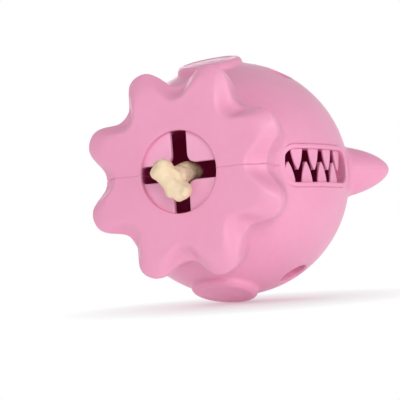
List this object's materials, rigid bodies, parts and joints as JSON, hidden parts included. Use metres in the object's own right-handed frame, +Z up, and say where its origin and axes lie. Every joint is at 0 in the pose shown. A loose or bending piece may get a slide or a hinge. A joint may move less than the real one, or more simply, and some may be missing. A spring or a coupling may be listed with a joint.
{
  "type": "treat ball",
  "caption": "Hollow rubber ball with a lobed flat collar, a flapped cross-shaped mouth, a toothed side slot and a tail, which holds and slowly lets out pet treats.",
  "frame": {"origin": "on the floor under the middle of the object's box, with the ball lying on its lower pad", "axes": "-Y along the opening's axis, out of the mouth; +X towards the toothed slot and the tail; +Z up, square to the mould seam"},
  "size_m": [0.0892, 0.092, 0.084],
  "materials": {
    "ball_rubber": "satin moulded natural rubber, pink",
    "flap_rubber": "satin moulded natural rubber, pink",
    "tooth_rubber": "satin moulded natural rubber, pink",
    "biscuit": "matt baked biscuit, pale cream"
  },
  "bodies": {
    "ball": {"upper_shell": "ball_rubber", "lower_shell": "ball_rubber", "upper_collar": "ball_rubber", "lower_collar": "ball_rubber", "tail": "ball_rubber", "upper_pad": "ball_rubber", "lower_pad": "ball_rubber"},
    "upper_right_flap": {"upper_right_flap": "flap_rubber"},
    "upper_left_flap": {"upper_left_flap": "flap_rubber"},
    "lower_left_flap": {"lower_left_flap": "flap_rubber"},
    "lower_right_flap": {"lower_right_flap": "flap_rubber"},
    "upper_tooth_1": {"upper_tooth_1": "tooth_rubber"},
    "upper_tooth_2": {"upper_tooth_2": "tooth_rubber"},
    "upper_tooth_3": {"upper_tooth_3": "tooth_rubber"},
    "upper_tooth_4": {"upper_tooth_4": "tooth_rubber"},
    "lower_tooth_1": {"lower_tooth_1": "tooth_rubber"},
    "lower_tooth_2": {"lower_tooth_2": "tooth_rubber"},
    "lower_tooth_3": {"lower_tooth_3": "tooth_rubber"},
    "biscuit": {"biscuit": "biscuit"}
  },
  "joints": [
    {"name": "upper_right_flap_bend", "type": "hinge", "parent": "ball", "child": "upper_right_flap", "pos_m": [0.00244, -0.03475, 0.04905], "axis": [0.7071, 0, -0.7071], "range_deg": [-15, 35], "stiffness_Nm_per_rad": 0.02},
    {"name": "upper_left_flap_bend", "type": "hinge", "parent": "ball", "child": "upper_left_flap", "pos_m": [-0.0117, -0.03475, 0.04905], "axis": [0.7071, 0, 0.7071], "range_deg": [-15, 35], "stiffness_Nm_per_rad": 0.02},
    {"name": "lower_left_flap_bend", "type": "hinge", "parent": "ball", "child": "lower_left_flap", "pos_m": [-0.0117, -0.03475, 0.03491], "axis": [-0.7071, 0, 0.7071], "range_deg": [-15, 35], "stiffness_Nm_per_rad": 0.02},
    {"name": "lower_right_flap_bend", "type": "hinge", "parent": "ball", "child": "lower_right_flap", "pos_m": [0.00244, -0.03475, 0.03491], "axis": [-0.7071, 0, -0.7071], "range_deg": [-15, 35], "stiffness_Nm_per_rad": 0.02},
    {"name": "upper_tooth_1_bend", "type": "hinge", "parent": "ball", "child": "upper_tooth_1", "pos_m": [0.02605, -0.0162, 0.04723], "axis": [0.5871, 0.8095, 0], "range_deg": [-25, 25], "stiffness_Nm_per_rad": 0.01},
    {"name": "upper_tooth_2_bend", "type": "hinge", "parent": "ball", "child": "upper_tooth_2", "pos_m": [0.02949, -0.01044, 0.04723], "axis": [0.4349, 0.9005, 0], "range_deg": [-25, 25], "stiffness_Nm_per_rad": 0.01},
    {"name": "upper_tooth_3_bend", "type": "hinge", "parent": "ball", "child": "upper_tooth_3", "pos_m": [0.03187, -0.00415, 0.04723], "axis": [0.2691, 0.9631, 0], "range_deg": [-25, 25], "stiffness_Nm_per_rad": 0.01},
    {"name": "upper_tooth_4_bend", "type": "hinge", "parent": "ball", "child": "upper_tooth_4", "pos_m": [0.0331, 0.00245, 0.04723], "axis": [0.0948, 0.9955, 0], "range_deg": [-25, 25], "stiffness_Nm_per_rad": 0.01},
    {"name": "lower_tooth_1_bend", "type": "hinge", "parent": "ball", "child": "lower_tooth_1", "pos_m": [0.0279, -0.0134, 0.03673], "axis": [-0.513, -0.8584, 0], "range_deg": [-25, 25], "stiffness_Nm_per_rad": 0.01},
    {"name": "lower_tooth_2_bend", "type": "hinge", "parent": "ball", "child": "lower_tooth_2", "pos_m": [0.03082, -0.00735, 0.03673], "axis": [-0.3534, -0.9355, 0], "range_deg": [-25, 25], "stiffness_Nm_per_rad": 0.01},
    {"name": "lower_tooth_3_bend", "type": "hinge", "parent": "ball", "child": "lower_tooth_3", "pos_m": [0.03263, -0.00088, 0.03673], "axis": [-0.1827, -0.9832, 0], "range_deg": [-25, 25], "stiffness_Nm_per_rad": 0.01},
    {"name": "biscuit_slide", "type": "slide", "parent": "ball", "child": "biscuit", "axis": [-0.0626, -0.9703, -0.2337], "range_m": [0, 0.006]}
  ]
}
